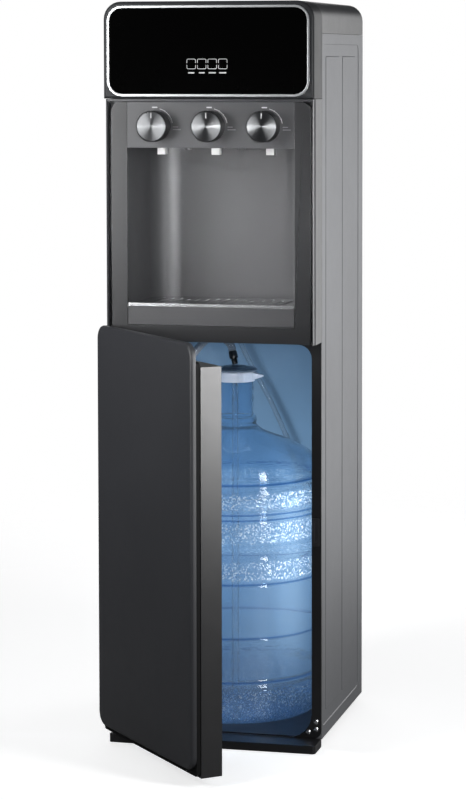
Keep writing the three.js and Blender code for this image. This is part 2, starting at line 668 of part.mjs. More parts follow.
const bottleInner = [
  [NECK_RADIUS - 2.4, 526], [NECK_RADIUS - 2.4, 462], [30, 450], [42, 439], [62, 429.6], [84, 421.6],
  [102, 413.6], [115.6, 404.6], [124.2, 393.4], [R - 4.6, 380], [R - 4.6, 230], [R - 4.4, 40],
  [124, 29], [118, 22], [108, 17.4], [60, 21.6], [0, 23.6],
];
add('water_bottle', turned([...bottleOuter, ...bottleInner], BOTTLE.x, BOTTLE.y, 36),
  paint(0x3f7fb8, 0.1, 0, { transparent: true, opacity: 0.4 }));

const tubeRadius = 5;
const waterLevel = 352;
add('bottle_water', turned([
  [tubeRadius + 1.2, 30], [60, 22.6], [107.6, 18.2], [117.4, 22.8], [123, 29.4], [R - 5, 40.6],
  [R - 5, waterLevel], [tubeRadius + 1.2, waterLevel], [tubeRadius + 1.2, 30],
], BOTTLE.x, BOTTLE.y, 36), paint(0x7fb4d9, 0.02, 0, { transparent: true, opacity: 0.35 }));

add('dip_tube', turned([[0, 26], [3.2, 26], [tubeRadius, 29], [tubeRadius, 530.6], [0, 530.6]],
  BOTTLE.x, BOTTLE.y, 16), paint(0xe8ecee, 0.25));

// White snap cap with a pointed tear tab on the right.
const capRing = [
  [tubeRadius + 0.3, CAP_TOP - 3], [NECK_RADIUS + 0.4, CAP_TOP - 3], [NECK_RADIUS + 0.4, CAP_BASE],
  [29.6, CAP_BASE], [29.6, CAP_BASE + 1], [28.6, CAP_TOP - 1.6], [27, CAP_TOP], [tubeRadius + 0.3, CAP_TOP],
  [tubeRadius + 0.3, CAP_TOP - 3],
];
function capTab() {
  const near = 27.9;
  const tip = 44;
  const position = [
    near, -9, CAP_BASE + 2, near, 9, CAP_BASE + 2, near, 9, CAP_TOP - 2, near, -9, CAP_TOP - 2,
    tip, -0.8, CAP_BASE + 7.4, tip, 0.8, CAP_BASE + 7.4, tip, 0.8, CAP_BASE + 9, tip, -0.8, CAP_BASE + 9,
  ];
  const index = [
    0, 2, 1, 0, 3, 2, 4, 5, 6, 4, 6, 7, 0, 1, 5, 0, 5, 4,
    1, 2, 6, 1, 6, 5, 2, 3, 7, 2, 7, 6, 3, 0, 4, 3, 4, 7,
  ];
  const geometry = new THREE.BufferGeometry();
  geometry.setAttribute('position', new THREE.Float32BufferAttribute(position, 3));
  geometry.setIndex(index);
  return geometry.translate(BOTTLE.x, BOTTLE.y, 0);
}
add('bottle_cap', join(turned(capRing, BOTTLE.x, BOTTLE.y, 36), capTab()), paint(0xeef0f4, 0.4));

const probeProfile = [
  [0, CAP_TOP + 0.9], [tubeRadius, CAP_TOP + 0.9], [33, CAP_TOP + GAP], [33.6, CAP_TOP + 2.4],
  [31, CAP_TOP + 4.2], [18, CAP_TOP + 5.4], [17, CAP_TOP + 7], [9, CAP_TOP + 8], [0, CAP_TOP + 8],
];
add('probe_head', turned(probeProfile, BOTTLE.x, BOTTLE.y, 32), paint(0x6f7f90, 0.25, 0.3));

const fittingLean = -12 * Math.PI / 180;
const fittingBase = CAP_TOP + 9.6;
const fittingLength = 21;
const fittingProfile = [
  [0, 0], [4.6, 0], [4.6, 8], [6.4, 9], [6.4, fittingLength - 2], [5, fittingLength], [0, fittingLength],
];
add('hose_fitting', turned(fittingProfile, 0, 0, 20)
  .rotateY(fittingLean)
  .translate(BOTTLE.x, BOTTLE.y, fittingBase), paint(0x0c0c0d, 0.4));

// A point on the fitting's axis, at a distance from its base.
function alongFitting(d) {
  return [BOTTLE.x + d * Math.sin(fittingLean), BOTTLE.y, fittingBase + d * Math.cos(fittingLean)];
}

// Soft hose: up out of the fitting, over a tight crest, down past the bottle's shoulder, round the
// bay's left wall and up through the ceiling to the pump.
const [suctionX, suctionY] = hosePorts.suction;
add('suction_hose', tube([
  alongFitting(fittingLength + 0.4),
  alongFitting(fittingLength + 3.4),
  [-18, 28, 568.6],
  [-25, 27, 575.6],
  [-38, 24, 580.3],
  [-50.5, 20, 578],
  [-61, 15.5, 569],
  [-75, 10, 550.5],
  [-89, 8, 530],
  [-106, 10, 504],
  [-122, 20, 480],
  [-132, 38, 466],
  [-136, 60, 462],
  [-135, 84, 469],
  [-130, 105, 487],
  [-123, 120, 514],
  [-117.5, 127, 545],
  [suctionX, suctionY, 572],
  [suctionX, suctionY, 590],
  [suctionX, suctionY, 611.7],
], 6, 10, 48), paint(0xb9bec4, 0.3));

// Drain: from the hot tank down through the ceiling, along the bay's back wall and round into the outlet.
const [drainX, drainY] = hosePorts.drain;
const [outletX, outletZ] = rearPorts.drain;
add('drain_hose', tube([
  [drainTop[0], drainTop[1], 749.7],
  [drainTop[0], drainTop[1], 740],
  [-78, 114.5, 715],
  [-60, 133, 666],
  [-43.5, 145, 632],
  [drainX, drainY, 606],
  [drainX, drainY, 588],
  [-32, 149, 560],
  [-15, 150, 524],
  [14, 150, 472],
  [52, 149, 388],
  [84, 143, 290],
  [103, 130, 205],
  [111, 115, 150],
  [outletX, 108.5, 115],
  [outletX, 108, 92],
  [outletX, 110.4, 79.8],
  [outletX, 117.4, 69.4],
  [outletX, 127.8, 62.4],
  [outletX, 140, outletZ],
  [outletX, 143.7, outletZ],
], 4, 8, 60), paint(0xc5d2dc, 0.2));

export default group;
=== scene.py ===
"""Looks for the bottom-loading water dispenser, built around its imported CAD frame.

Metres, +X to the right seen from the front, -Y towards the user, +Z up, floor at z = 0.
"""
import math

import bmesh
import bpy
import numpy as np
from mathutils import Matrix, Vector


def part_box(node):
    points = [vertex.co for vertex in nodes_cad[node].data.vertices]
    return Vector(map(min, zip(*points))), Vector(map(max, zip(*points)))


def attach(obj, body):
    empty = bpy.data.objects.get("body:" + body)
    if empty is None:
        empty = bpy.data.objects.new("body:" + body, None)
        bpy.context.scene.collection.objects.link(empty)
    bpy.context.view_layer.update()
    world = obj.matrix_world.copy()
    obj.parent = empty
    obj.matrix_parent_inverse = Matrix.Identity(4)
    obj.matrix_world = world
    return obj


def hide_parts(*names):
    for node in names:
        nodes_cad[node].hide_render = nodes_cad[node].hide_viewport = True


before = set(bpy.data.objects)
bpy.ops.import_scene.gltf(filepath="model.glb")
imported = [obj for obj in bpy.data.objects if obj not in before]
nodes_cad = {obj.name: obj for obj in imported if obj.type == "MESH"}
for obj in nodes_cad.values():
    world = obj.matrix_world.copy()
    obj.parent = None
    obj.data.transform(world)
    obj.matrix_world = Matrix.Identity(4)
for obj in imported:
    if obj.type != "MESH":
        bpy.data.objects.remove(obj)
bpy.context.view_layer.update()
scene = bpy.context.scene
MM = 0.001
# The taps and how far each stands from the middle, and the height of their knobs, in mm.
TAPS = {"hot": -81.0, "warm": 0.0, "cold": 81.0}
KNOB_Z = 903.5


# ------------------------------------------------------------------ camera, light and floor
def add_camera():
    """Stands where the photo was taken from: in front, to the right, looking slightly down."""
    place = (0.9485, -3.8585, 0.9974)
    yaw = math.radians(13.91)
    pitch = math.radians(3.858)
    roll = math.radians(-0.099)
    data = bpy.data.cameras.new("photo_camera")
    data.lens = 119.8
    data.sensor_width = 36.0
    data.shift_y = -0.20
    data.clip_end = 100.0
    obj = bpy.data.objects.new("photo_camera", data)
    scene.collection.objects.link(obj)
    forward = Vector((-math.sin(yaw) * math.cos(pitch), math.cos(yaw) * math.cos(pitch), -math.sin(pitch)))
    rotation = forward.to_track_quat("-Z", "Y").to_matrix() @ Matrix.Rotation(roll, 3, "Z")
    obj.matrix_world = Matrix.Translation(place) @ rotation.to_4x4()
    scene.camera = obj


def add_softbox(name, place, target, width, height, power, colour=(1.0, 1.0, 1.0), spread=180.0):
    """A rectangular lamp that faces target and that the camera does not see; spread is in degrees."""
    data = bpy.data.lights.new(name, "AREA")
    data.shape = "RECTANGLE"
    data.size, data.size_y = width, height
    data.energy = power
    data.color = colour
    data.spread = math.radians(spread)
    obj = bpy.data.objects.new(name, data)
    scene.collection.objects.link(obj)
    obj.visible_camera = False
    aim = (Vector(target) - Vector(place)).to_track_quat("-Z", "Y")
    obj.matrix_world = Matrix.Translation(place) @ aim.to_matrix().to_4x4()
    return obj


def add_gloss_panel(name, place, target, width, height, power):
    """A tall reflector that draws highlights along the rounded corners and casts no light of its own."""
    panel = add_softbox(name, place, target, width, height, power)
    panel.visible_diffuse = False
    panel.visible_transmission = False


def add_bay_lamp(name, place, target, width, height, power):
    """A cool strip that lights the bay's walls, and is never mirrored or seen through the bottle."""
    lamp = add_softbox(name, place, target, width, height, power, (0.80, 0.91, 1.0))
    lamp.visible_glossy = False
    lamp.visible_transmission = False


def add_world():
    """White behind the part for the camera, and a weak cool light from all round for the rest."""
    world = bpy.data.worlds.new("studio")
    scene.world = world
    world.use_nodes = True
    tree = world.node_tree
    tree.nodes.clear()
    out = tree.nodes.new("ShaderNodeOutputWorld")
    mix = tree.nodes.new("ShaderNodeMixShader")
    seen = tree.nodes.new("ShaderNodeBackground")
    ambient = tree.nodes.new("ShaderNodeBackground")
    path = tree.nodes.new("ShaderNodeLightPath")
    ambient.inputs["Color"].default_value = (0.9, 0.93, 1.0, 1)
    ambient.inputs["Strength"].default_value = 0.10
    seen.inputs["Color"].default_value = (1, 1, 1, 1)
    seen.inputs["Strength"].default_value = 1.0
    tree.links.new(path.outputs["Is Camera Ray"], mix.inputs["Fac"])
    tree.links.new(ambient.outputs[0], mix.inputs[1])
    tree.links.new(seen.outputs[0], mix.inputs[2])
    tree.links.new(mix.outputs[0], out.inputs["Surface"])


def add_floor():
    """A pale floor that fades out, so that it has no edge against the white behind it."""
    mesh = bpy.data.meshes.new("studio_floor")
    reach = 2.4
    fade_start = 0.9
    fade_end = 2.2
    steps = 8
    grid = bmesh.new()
    bmesh.ops.create_grid(grid, x_segments=steps, y_segments=steps, size=reach)
    grid.to_mesh(mesh)
    grid.free()
    floor = bpy.data.objects.new("studio_floor", mesh)
    scene.collection.objects.link(floor)
    mat = bpy.data.materials.new("studio_floor")
    mat.use_nodes = True
    tree = mat.node_tree
    tree.nodes.clear()
    make = tree.nodes.new
    out = make("ShaderNodeOutputMaterial")
    fade = make("ShaderNodeMixShader")
    join_up = make("ShaderNodeMixShader")
    pale = make("ShaderNodeBsdfDiffuse")
    dim = make("ShaderNodeBsdfDiffuse")
    glow = make("ShaderNodeEmission")
    add = make("ShaderNodeAddShader")
    path = make("ShaderNodeLightPath")
    nothing = make("ShaderNodeBsdfTransparent")
    pale.inputs["Color"].default_value = (0.8, 0.8, 0.8, 1)
    dim.inputs["Color"].default_value = (0.30, 0.30, 0.30, 1)
    glow.inputs["Strength"].default_value = 0.62
    distance = make("ShaderNodeVectorMath")
    distance.operation = "LENGTH"
    link(tree, object_coordinates(tree), distance.inputs[0])
    link(tree, pale.outputs[0], add.inputs[0])
    link(tree, glow.outputs[0], add.inputs[1])
    link(tree, path.outputs["Is Camera Ray"], join_up.inputs["Fac"])
    link(tree, dim.outputs[0], join_up.inputs[1])
    link(tree, add.outputs[0], join_up.inputs[2])
    link(tree, ramp(tree, distance.outputs["Value"], 0.0, 1.0, fade_start, fade_end), fade.inputs["Fac"])
    link(tree, join_up.outputs[0], fade.inputs[1])
    link(tree, nothing.outputs[0], fade.inputs[2])
    link(tree, fade.outputs[0], out.inputs["Surface"])
    mesh.materials.append(mat)


# ------------------------------------------------------------------ materials
def link(tree, source, target):
    tree.links.new(source, target)


def object_coordinates(tree):
    return tree.nodes.new("ShaderNodeTexCoord").outputs["Object"]


def noise(tree, scale, detail, roughness=0.5, stretch=None):
    node = tree.nodes.new("ShaderNodeTexNoise")
    node.inputs["Scale"].default_value = scale
    node.inputs["Detail"].default_value = detail
    node.inputs["Roughness"].default_value = roughness
    place = object_coordinates(tree)
    if stretch:
        mapping = tree.nodes.new("ShaderNodeMapping")
        mapping.inputs["Scale"].default_value = stretch
        link(tree, place, mapping.inputs["Vector"])
        place = mapping.outputs["Vector"]
    link(tree, place, node.inputs["Vector"])
    return node.outputs["Fac"]


def ramp(tree, value, low, high, start=0.3, end=0.7):
    node = tree.nodes.new("ShaderNodeMapRange")
    node.inputs["From Min"].default_value = start
    node.inputs["From Max"].default_value = end
    node.inputs["To Min"].default_value = low
    node.inputs["To Max"].default_value = high
    link(tree, value, node.inputs["Value"])
    return node.outputs["Result"]


def blend_colours(tree, factor, first, second):
    node = tree.nodes.new("ShaderNodeMix")
    node.data_type = "RGBA"
    node.inputs["A"].default_value = (*first, 1)
    node.inputs["B"].default_value = (*second, 1)
    link(tree, factor, node.inputs["Factor"])
    return node.outputs["Result"]


def add_bump(tree, bsdf, height, strength, distance):
    node = tree.nodes.new("ShaderNodeBump")
    node.inputs["Strength"].default_value = strength
    node.inputs["Distance"].default_value = distance
    link(tree, height, node.inputs["Height"])
    link(tree, node.outputs["Normal"], bsdf.inputs["Normal"])


def surface(name, colour, rough, metal=0.0, grain=900.0, depth=0.12, spread=0.12, rough_spread=0.015,
            stretch=None, **constants):
    """A moulded, painted or metal finish: cloudy tone, uneven gloss and a fine grain in the relief."""
    mat = bpy.data.materials.new(name)
    mat.use_nodes = True
    tree = mat.node_tree
    bsdf = tree.nodes["Principled BSDF"]
    dark = tuple(c * (1 - spread) for c in colour)
    light = tuple(min(1.0, c * (1 + spread)) for c in colour)
    link(tree, blend_colours(tree, noise(tree, 9.0, 4.0), dark, light), bsdf.inputs["Base Color"])
    gloss = ramp(tree, noise(tree, 55.0, 5.0, 0.6, stretch), rough - rough_spread, rough + rough_spread)
    link(tree, gloss, bsdf.inputs["Roughness"])
    add_bump(tree, bsdf, noise(tree, grain, 3.0, 0.6, stretch), depth, 0.0004)
    bsdf.inputs["Metallic"].default_value = metal
    for socket, value in constants.items():
        bsdf.inputs[socket.replace("_", " ")].default_value = value
    return mat


def clear(name, colour, rough, ior, alpha, transmission):
    """A see-through plastic or liquid, with a slight unevenness in its surface."""
    mat = bpy.data.materials.new(name)
    mat.use_nodes = True
    tree = mat.node_tree
    bsdf = tree.nodes["Principled BSDF"]
    dark = tuple(c * 0.92 for c in colour)
    link(tree, blend_colours(tree, noise(tree, 14.0, 3.0), dark, colour), bsdf.inputs["Base Color"])
    link(tree, ramp(tree, noise(tree, 70.0, 3.0), rough * 0.7, rough * 1.3), bsdf.inputs["Roughness"])
    add_bump(tree, bsdf, noise(tree, 220.0, 2.0), 0.02, 0.0005)
    bsdf.inputs["Transmission Weight"].default_value = transmission
    bsdf.inputs["IOR"].default_value = ior
    bsdf.inputs["Alpha"].default_value = alpha
    return mat


bezel = surface("bezel_charcoal", (0.023, 0.024, 0.026), 0.40, 0.0, Specular_IOR_Level=0.13)
cover = surface("cover_charcoal", (0.023, 0.024, 0.026), 0.38, 0.1)
rails = surface("rails_grey", (0.016, 0.0165, 0.018), 0.31, 0.2)
tray_dark = surface("tray_grey", (0.035, 0.0355, 0.038), 0.40, 0.1)
shell = surface("shell_charcoal", (0.034, 0.035, 0.038), 0.34, 0.25)
fascia = surface("fascia_grey", (0.038, 0.039, 0.042), 0.35, 0.2)
alcove = surface("alcove_grey", (0.050, 0.051, 0.054), 0.46, 0.35)
steel_paint = surface("cabinet_steel", (0.185, 0.189, 0.200), 0.50, 0.35, grain=1400.0, depth=0.1)
frame_black = surface("frame_black", (0.012, 0.012, 0.013), 0.34, grain=1200.0, depth=0.1)
carrier_black = surface("carrier_black", (0.0035, 0.0035, 0.0037), 0.62, Specular_IOR_Level=0.12)
door_skin = surface("door_charcoal", (0.030, 0.031, 0.035), 0.45, 0.1, grain=1600.0, depth=0.14)
door_body = surface("door_grey", (0.024, 0.024, 0.025), 0.30, 0.1, grain=1400.0, depth=0.08, spread=0.05)
bay_wall = surface("bay_blue", (0.125, 0.20, 0.285), 0.45)
display_glass = surface("display_black", (0.0008, 0.0008, 0.0008), 0.06, grain=60.0, depth=0.005,
                        rough_spread=0.02, Specular_IOR_Level=0.03)
chrome = surface("trim_chrome", (0.40, 0.41, 0.42), 0.34, 1.0, depth=0.03, spread=0.03)
grille_metal = surface("grille_steel", (0.62, 0.63, 0.64), 0.26, 1.0, stretch=(0.05, 1, 1))
knob_black = surface("knob_black", (0.008, 0.008, 0.009), 0.42, Specular_IOR_Level=0.3)
spun_metal = surface("spun_metal", (0.13, 0.133, 0.137), 0.30, 1.0, grain=300.0, depth=0.01, spread=0.03,
                     rough_spread=0.03, Anisotropic=0.92, Anisotropic_Rotation=0.25)
radial = spun_metal.node_tree.nodes.new("ShaderNodeTangent")
radial.direction_type = "RADIAL"
radial.axis = "Y"
spun_metal.node_tree.links.new(radial.outputs["Tangent"],
                               spun_metal.node_tree.nodes["Principled BSDF"].inputs["Tangent"])
disc_metal = surface("disc_metal", (0.58, 0.59, 0.60), 0.28, 1.0, depth=0.03, spread=0.04)
white_plastic = surface("nozzle_white", (0.40, 0.404, 0.408), 0.4, depth=0.04, spread=0.03)
cap_white = surface("cap_white", (0.66, 0.68, 0.76), 0.36, depth=0.04, spread=0.03)
print_white = surface("print_white", (0.42, 0.425, 0.43), 0.6, depth=0.02, spread=0.03)
print_grey = surface("print_grey", (0.16, 0.16, 0.17), 0.5, depth=0.02, spread=0.03)
valve_cream = surface("valve_cream", (0.75, 0.73, 0.66), 0.5)
board_green = surface("board_green", (0.02, 0.12, 0.05), 0.4)
zinc = surface("shelf_steel", (0.5, 0.52, 0.54), 0.42, 0.85, stretch=(1, 0.2, 1))
hinge_metal = surface("hinge_steel", (0.4, 0.41, 0.42), 0.35, 0.9)
rear_paint = surface("rear_steel", (0.13, 0.135, 0.145), 0.45, 0.3)
black_enamel = surface("condenser_black", (0.015, 0.015, 0.016), 0.35)
foam = surface("foam_white", (0.78, 0.78, 0.77), 0.7, grain=300.0, depth=0.3)
tank_metal = surface("tank_metal", (0.5, 0.51, 0.52), 0.3, 0.95)
dark_plastic = surface("housing_black", (0.02, 0.02, 0.022), 0.42)
outlet_white = surface("outlet_white", (0.7, 0.71, 0.72), 0.45)
rocker_red = surface("rocker_red", (0.45, 0.04, 0.03), 0.32)
rocker_green = surface("rocker_green", (0.03, 0.22, 0.07), 0.32)
screw_metal = surface("screw_steel", (0.62, 0.63, 0.65), 0.22, 1.0)
probe_grey = surface("probe_grey", (0.10, 0.13, 0.17), 0.22)
fitting_black = surface("fitting_black", (0.008, 0.008, 0.008), 0.28)


def arithmetic(tree, operation, first, second):
    node = tree.nodes.new("ShaderNodeMath")
    node.operation = operation
    for socket, value in zip(node.inputs, (first, second)):
        if isinstance(value, float):
            socket.default_value = value
        else:
            link(tree, value, socket)
    return node.outputs[0]


def paint_bottle_shade_and_specks(mat, bands, speck_and_sparkle_colour, grooves, shade, base_height):
    """Marks the moulded wall of the bottle by height, in metres: pale clouded specks where a band is
    pebbled, partly clouding of the rough plastic and partly a painted sparkle, and a painted shade of
    deeper blue in the grooves and below base_height."""
    tree = mat.node_tree
    bsdf = tree.nodes["Principled BSDF"]
    split = tree.nodes.new("ShaderNodeSeparateXYZ")
    link(tree, object_coordinates(tree), split.inputs[0])
    height = split.outputs["Z"]
    # Painted shade: a deeper blue in the grooves and below base_height.
    painted_shade = ramp(tree, height, 0.55, 0.0, base_height - 0.012, base_height)
    for middle in grooves:
        off = arithmetic(tree, "ABSOLUTE", arithmetic(tree, "SUBTRACT", height, middle), 0.0)
        painted_shade = arithmetic(tree, "MAXIMUM", painted_shade, ramp(tree, off, 1.0, 0.0, 0.0008, 0.0022))
    mask = None
    for low, high, strength in bands:
        band = arithmetic(tree, "MULTIPLY", ramp(tree, height, 0.0, strength, low - 0.002, low + 0.002),
                          ramp(tree, height, 1.0, 0.0, high - 0.002, high + 0.002))
        mask = band if mask is None else arithmetic(tree, "ADD", mask, band)
    # Pale specks in the pebbled bands, partly clouded plastic and partly a painted sparkle.
    specks_and_painted_sparkle = arithmetic(tree, "MULTIPLY", ramp(tree, noise(tree, 430.0, 1.0), 0.0, 1.0, 0.60, 0.66), mask)
    colour = bsdf.inputs["Base Color"].links[0].from_socket
    for factor, other in ((painted_shade, shade), (specks_and_painted_sparkle, speck_and_sparkle_colour)):
        node = tree.nodes.new("ShaderNodeMix")
        node.data_type = "RGBA"
        node.inputs["B"].default_value = (*other, 1)
        link(tree, colour, node.inputs["A"])
        link(tree, factor, node.inputs["Factor"])
        colour = node.outputs["Result"]
    link(tree, colour, bsdf.inputs["Base Color"])
    clouded = bsdf.inputs["Transmission Weight"].default_value
    link(tree, ramp(tree, specks_and_painted_sparkle, clouded, 0.45, 0.0, 1.0), bsdf.inputs["Transmission Weight"])


bottle_blue = clear("bottle_blue", (0.66, 0.83, 0.98), 0.04, 1.36, alpha=0.97, transmission=0.985)
# The bottle's wall gets painted shade in its grooves and at its base, and pale specks that are partly a
# painted sparkle.
paint_bottle_shade_and_specks(bottle_blue,
      bands=((0.020, 0.068, 0.6), (0.232, 0.260, 1.0), (0.287, 0.317, 1.0), (0.337, 0.361, 1.0)),
      speck_and_sparkle_colour=(0.92, 0.96, 1.0),
      grooves=(0.080, 0.146, 0.226, 0.3215, 0.3295, 0.3735),
      shade=(0.16, 0.36, 0.66),
      base_height=0.078)
water_clear = clear("water", (0.92, 0.97, 1.0), 0.0, 1.12, alpha=0.9, transmission=0.93)
tube_clear = clear("tube_clear", (0.88, 0.94, 0.98), 0.06, 1.22, alpha=0.55, transmission=0.93)
hose_grey = clear("hose_grey", (0.50, 0.53, 0.57), 0.16, 1.3, alpha=0.95, transmission=0.75)
dip_clear = clear("dip_clear", (0.86, 0.93, 0.98), 0.03, 1.30, alpha=0.6, transmission=0.99)


# ------------------------------------------------------------------ finishing the CAD nodes
def angle_shading(limit):
    """A node group that shades faces smooth and keeps edges sharper than the limit crisp."""
    group = bpy.data.node_groups.new("smooth_below_%d" % round(limit), "GeometryNodeTree")
    group.interface.new_socket("Geometry", in_out="INPUT", socket_type="NodeSocketGeometry")
    group.interface.new_socket("Geometry", in_out="OUTPUT", socket_type="NodeSocketGeometry")
    make = group.nodes.new
    start, end = make("NodeGroupInput"), make("NodeGroupOutput")
    faces, edges = make("GeometryNodeSetShadeSmooth"), make("GeometryNodeSetShadeSmooth")
    faces.domain, edges.domain = "FACE", "EDGE"
    angle, compare = make("GeometryNodeInputMeshEdgeAngle"), make("FunctionNodeCompare")
    compare.data_type, compare.operation = "FLOAT", "LESS_EQUAL"
    compare.inputs["B"].default_value = math.radians(limit)
    group.links.new(angle.outputs["Unsigned Angle"], compare.inputs["A"])
    group.links.new(compare.outputs["Result"], edges.inputs["Shade Smooth"])
    group.links.new(start.outputs[0], faces.inputs["Geometry"])
    group.links.new(faces.outputs[0], edges.inputs["Geometry"])
    group.links.new(edges.outputs[0], end.inputs[0])
    return group


smooth_group = angle_shading(38)
pressed_group = angle_shading(12)
# Sheets whose shallow pressed slopes have to stay crisp.
PRESSED = {"right_side_panel", "left_side_panel"}
# Nodes with holes through a flat face, whose faces are not merged before they are bevelled.
PIERCED = {"door_inner", "control_panel", "dispense_frame", "bay_frame", "base_plinth", "surround_shell"}


def finish_node(name, material, bevel):
    """Gives a CAD node its material, rounded edges (bevel in metres) and smooth shading."""
    obj = nodes_cad[name]
    mesh = obj.data
    mesh.materials.clear()
    mesh.materials.append(material)
    if "custom_normal" in mesh.attributes:
        mesh.attributes.remove(mesh.attributes["custom_normal"])
    weld = obj.modifiers.new("weld", "WELD")
    weld.merge_threshold = 0.00001
    if bevel > 0:
        if name not in PIERCED:
            flatten = obj.modifiers.new("flatten", "DECIMATE")
            flatten.decimate_type = "DISSOLVE"
            flatten.angle_limit = math.radians(0.4)
        round_off = obj.modifiers.new("round_off", "BEVEL")
        round_off.width = bevel
        round_off.segments = 2
        round_off.limit_method = "ANGLE"
        round_off.angle_limit = math.radians(40)
        round_off.miter_outer = "MITER_ARC"
    shade = obj.modifiers.new("shade", "NODES")
    shade.node_group = pressed_group if name in PRESSED else smooth_group
    if bevel > 0:
        weigh = obj.modifiers.new("weigh", "WEIGHTED_NORMAL")
        weigh.keep_sharp = True


# What each CAD node is made of, and how far its edges are rounded, in mm.
FINISHES = {
    "base_plinth": (frame_black, 1.0), "bay_frame": (frame_black, 0.6),
    "door_carrier": (carrier_black, 0.6), "magnetic_catch": (dark_plastic, 0.4),
    "right_side_panel": (steel_paint, 0.0), "left_side_panel": (steel_paint, 0.0),
    "back_panel": (rear_paint, 0.0), "condenser_coil": (black_enamel, 0.0),
    "bay_liner": (bay_wall, 0.0), "surround_shell": (shell, 0.6),
    "frame_screw_1": (screw_metal, 0.0), "frame_screw_2": (screw_metal, 0.0),
    "frame_screw_3": (screw_metal, 0.0), "dispense_frame": (rails, 0.6),
    "control_panel": (fascia, 0.5), "alcove_liner": (alcove, 0.0),
    "drip_tray": (tray_dark, 0.5), "drip_grille": (grille_metal, 0.0),
    "head_bezel": (bezel, 0.0), "display_trim": (chrome, 0.5),
    "display_panel": (display_glass, 0.4), "display_board": (board_green, 0.0),
    "top_cover": (cover, 0.6), "equipment_shelf": (zinc, 0.0), "tank_shelf": (zinc, 0.0),
    "compressor": (black_enamel, 0.0), "cold_tank": (foam, 0.0), "hot_tank": (tank_metal, 0.0),
    "water_pump": (dark_plastic, 0.4), "switch_housing": (dark_plastic, 0.5),
    "heating_switch": (rocker_red, 0.4), "cooling_switch": (rocker_green, 0.4),
    "mains_gland": (dark_plastic, 0.3), "drain_outlet": (outlet_white, 0.0),
    "drain_cap": (dark_plastic, 0.0), "door_panel": (door_skin, 0.0),
    "door_inner": (door_body, 1.0), "door_strike": (hinge_metal, 0.0),
    "lower_hinge": (hinge_metal, 0.3), "upper_hinge": (hinge_metal, 0.3),
    "water_bottle": (bottle_blue, 0.0), "bottle_water": (water_clear, 0.0),
    "dip_tube": (tube_clear, 0.0), "bottle_cap": (cap_white, 0.0), "probe_head": (probe_grey, 0.0),
    "hose_fitting": (fitting_black, 0.0), "suction_hose": (hose_grey, 0.0),
    "drain_hose": (tube_clear, 0.0),
}
for tap in TAPS:
    FINISHES[tap + "_knob"] = (knob_black, 0.3)
    FINISHES[tap + "_knob_disc"] = (disc_metal, 0.0)
    FINISHES[tap + "_nozzle"] = (white_plastic, 0.5)
    FINISHES[tap + "_valve"] = (valve_cream, 0.0)
for node_name, (node_material, node_bevel) in FINISHES.items():
    finish_node(node_name, node_material, node_bevel * MM)


# ------------------------------------------------------------------ added pieces
def new_piece(name, vertices, faces, material, body, smooth=True):
    """Adds a mesh, in metres, that moves with a body of the part."""
    mesh = bpy.data.meshes.new(name)
    mesh.from_pydata([tuple(v) for v in vertices], [], [tuple(f) for f in faces])
    mesh.validate()
    mesh.materials.append(material)
    if smooth:
        mesh.shade_smooth()
    obj = bpy.data.objects.new(name, mesh)
    scene.collection.objects.link(obj)
    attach(obj, body)
    return obj


def lathe(profile, centre, segments, relief=None):
    """Vertices and faces of a body turned about the vertical through centre. The profile is a list of
    (radius, height) in mm that starts and ends on the axis; relief[i][j] moves a point outwards, in mm."""
    vertices, faces, rings = [], [], []
    for i, (radius, height) in enumerate(profile):
        if radius <= 0:
            rings.append([len(vertices)])
            vertices.append((centre[0] * MM, centre[1] * MM, height * MM))
            continue
        ring = []
        for j in range(segments):
            angle = 2 * math.pi * j / segments
            r = radius + (relief[i][j] if relief is not None else 0.0)
            ring.append(len(vertices))
            vertices.append(((centre[0] + r * math.cos(angle)) * MM, (centre[1] + r * math.sin(angle)) * MM,
                             height * MM))
        rings.append(ring)
    for low, high in zip(rings, rings[1:]):
        for j in range(segments):
            k = (j + 1) % segments
            if len(low) == 1:
                faces.append((low[0], high[k], high[j]))
            elif len(high) == 1:
                faces.append((low[j], low[k], high[0]))
            else:
                faces.append((low[j], low[k], high[k], high[j]))
    return vertices, faces


def resampled(profile, step):
    """The same outline with points no further apart than step."""
    points = [profile[0]]
    for (r0, z0), (r1, z1) in zip(profile, profile[1:]):
        count = max(1, math.ceil(math.hypot(r1 - r0, z1 - z0) / step))
        points += [(r0 + (r1 - r0) * k / count, z0 + (z1 - z0) * k / count) for k in range(1, count + 1)]
    return points


def rounded_line(profile):
    """Cuts the corners of an outline twice, to turn its facets into curves."""
    for _ in range(2):
        points = [profile[0]]
        for (r0, z0), (r1, z1) in zip(profile, profile[1:]):
            points.append((0.75 * r0 + 0.25 * r1, 0.75 * z0 + 0.25 * z1))
            points.append((0.25 * r0 + 0.75 * r1, 0.25 * z0 + 0.75 * z1))
        profile = points + [profile[-1]]
    return profile


# The bottle's axis, its radius outside and inside, and the height of the water, in mm.
BOTTLE_AT = (-11.0, 28.0)
BOTTLE_R = 130.0
INSIDE_R = BOTTLE_R - 4.7
WATER_LEVEL = 352.0
# Bands of pebbles on the bottle: lowest and highest point and how far they stand out, all in mm.
PEBBLED = ((20, 70, 0.8), (90, 140, 0.16), (232, 260, 0.8), (287, 317, 0.8), (336, 361, 0.9),
           (376, 420, 0.12))


def pebbles(rows, columns, row_mm, column_mm, size_mm, seed):
    """A field of rounded pebbles, from 0 to 1, that closes on itself around the bottle."""
    rng = np.random.default_rng(seed)
    field = np.fft.fft2(rng.standard_normal((rows, columns)))
    fy = np.fft.fftfreq(rows, row_mm)[:, None]
    fx = np.fft.fftfreq(columns, column_mm)[None, :]
    wave = np.hypot(fx, fy) * size_mm
    # Keep only the waves near the pebbles' size, then flatten the hollows between the pebbles.
    field = np.real(np.fft.ifft2(field * np.exp(-((wave - 0.5) / 0.22) ** 2)))
    field /= field.std()
    return np.clip((field - 0.1) / 1.4, 0, 1) ** 0.8


